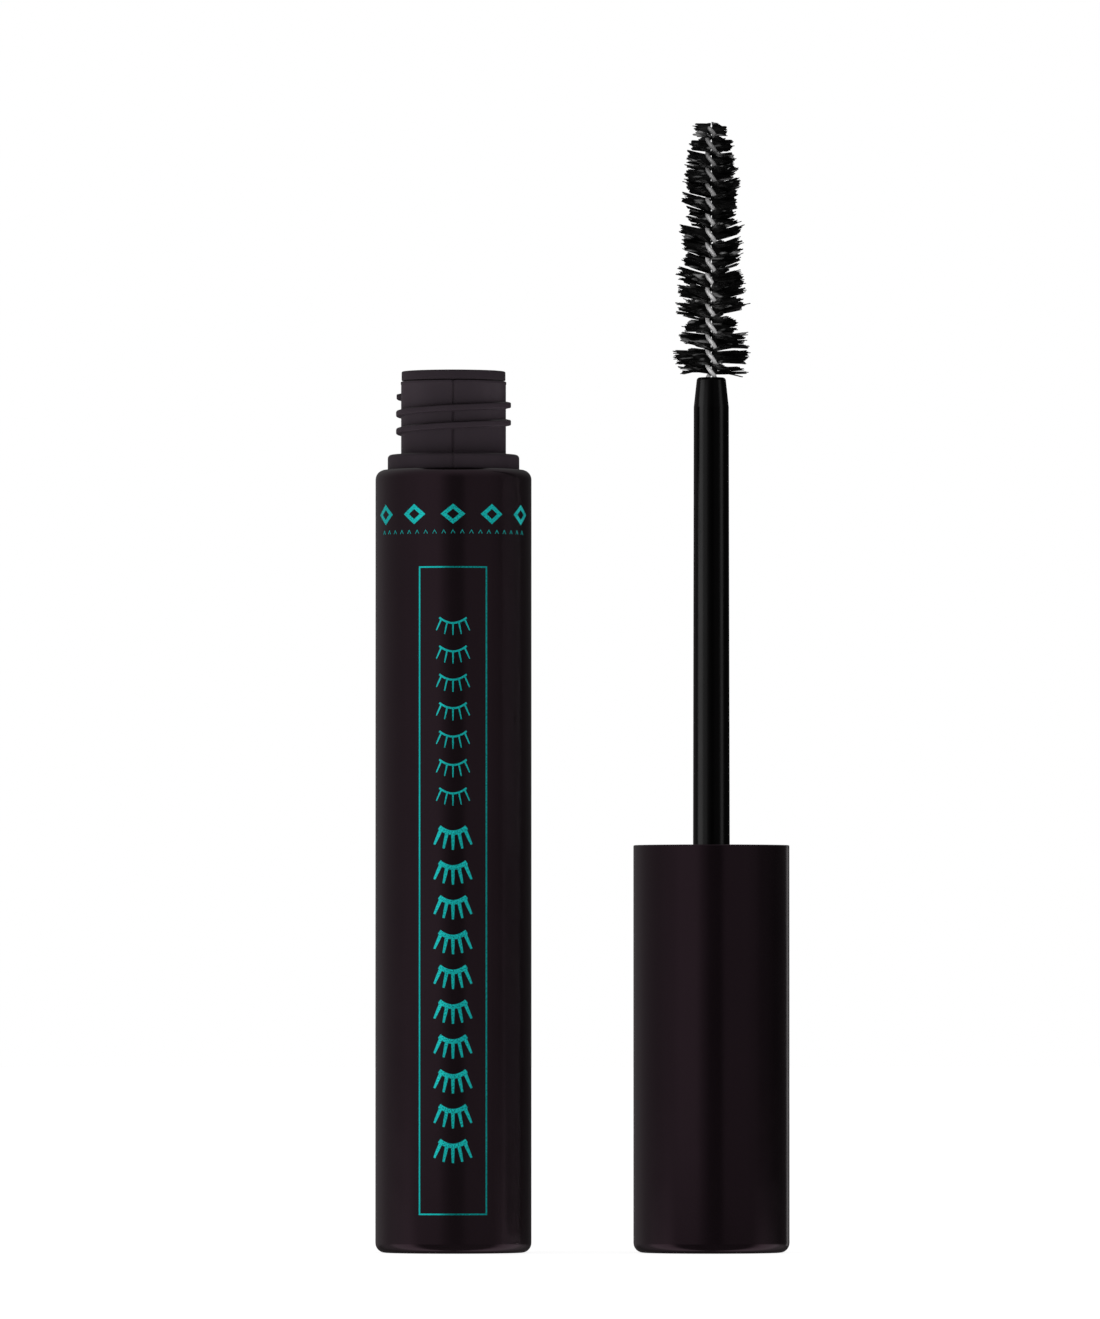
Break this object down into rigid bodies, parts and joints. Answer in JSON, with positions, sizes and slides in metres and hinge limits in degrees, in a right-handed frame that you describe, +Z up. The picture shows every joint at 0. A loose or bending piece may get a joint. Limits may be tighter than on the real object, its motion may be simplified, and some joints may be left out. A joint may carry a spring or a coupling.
{
  "type": "mascara tube",
  "caption": "Round gloss-black mascara, open: the tube stands on its base, and the cap stands beside it with its wand and twisted-wire brush pointing up.",
  "frame": {"origin": "centre of the tube's base, on the surface that it stands on", "axes": "+Z up along the tube's axis towards its mouth; +X towards the cap that stands beside it; the foil frame faces -Y"},
  "size_m": [0.0424, 0.0161, 0.1155],
  "materials": {
    "case_gloss": "high-gloss black with a faint warm tint",
    "cap_gloss": "high-gloss black with a faint warm tint",
    "bottle_black": "moulded black, satin gloss, with a parting line",
    "wiper_black": "soft black elastomer, satin",
    "formula": "wet black cream",
    "teal_foil": "hot-stamped teal metallic foil",
    "liner_black": "moulded black, satin",
    "rod_black": "smooth polished black",
    "wire_steel": "bright drawn wire",
    "nylon": "fine black filaments"
  },
  "bodies": {
    "tube": {"outer_shell": "case_gloss", "inner_bottle": "bottle_black", "wiper": "wiper_black", "mascara_formula": "formula", "foil_frame": "teal_foil"},
    "wand_stem": {"wand_rod": "rod_black"},
    "cap_and_brush": {"cap_shell": "cap_gloss", "cap_liner": "liner_black", "brush_wire": "wire_steel", "bristle_row_01": "nylon", "bristle_row_02": "nylon", "bristle_row_03": "nylon", "bristle_row_04": "nylon", "bristle_row_05": "nylon", "bristle_row_06": "nylon", "bristle_row_07": "nylon", "bristle_row_08": "nylon", "bristle_row_09": "nylon", "bristle_row_10": "nylon", "bristle_row_11": "nylon", "bristle_row_12": "nylon", "bristle_row_13": "nylon", "bristle_row_14": "nylon", "bristle_row_15": "nylon", "bristle_row_16": "nylon"}
  },
  "joints": [
    {"name": "wand_lift", "type": "slide", "parent": "tube", "child": "wand_stem", "axis": [0, 0, 1], "range_m": [0, 0.084]},
    {"name": "cap_turn", "type": "hinge", "parent": "wand_stem", "child": "cap_and_brush", "pos_m": [0.02645, 0, 0], "axis": [0, 0, 1], "continuous": true}
  ]
}
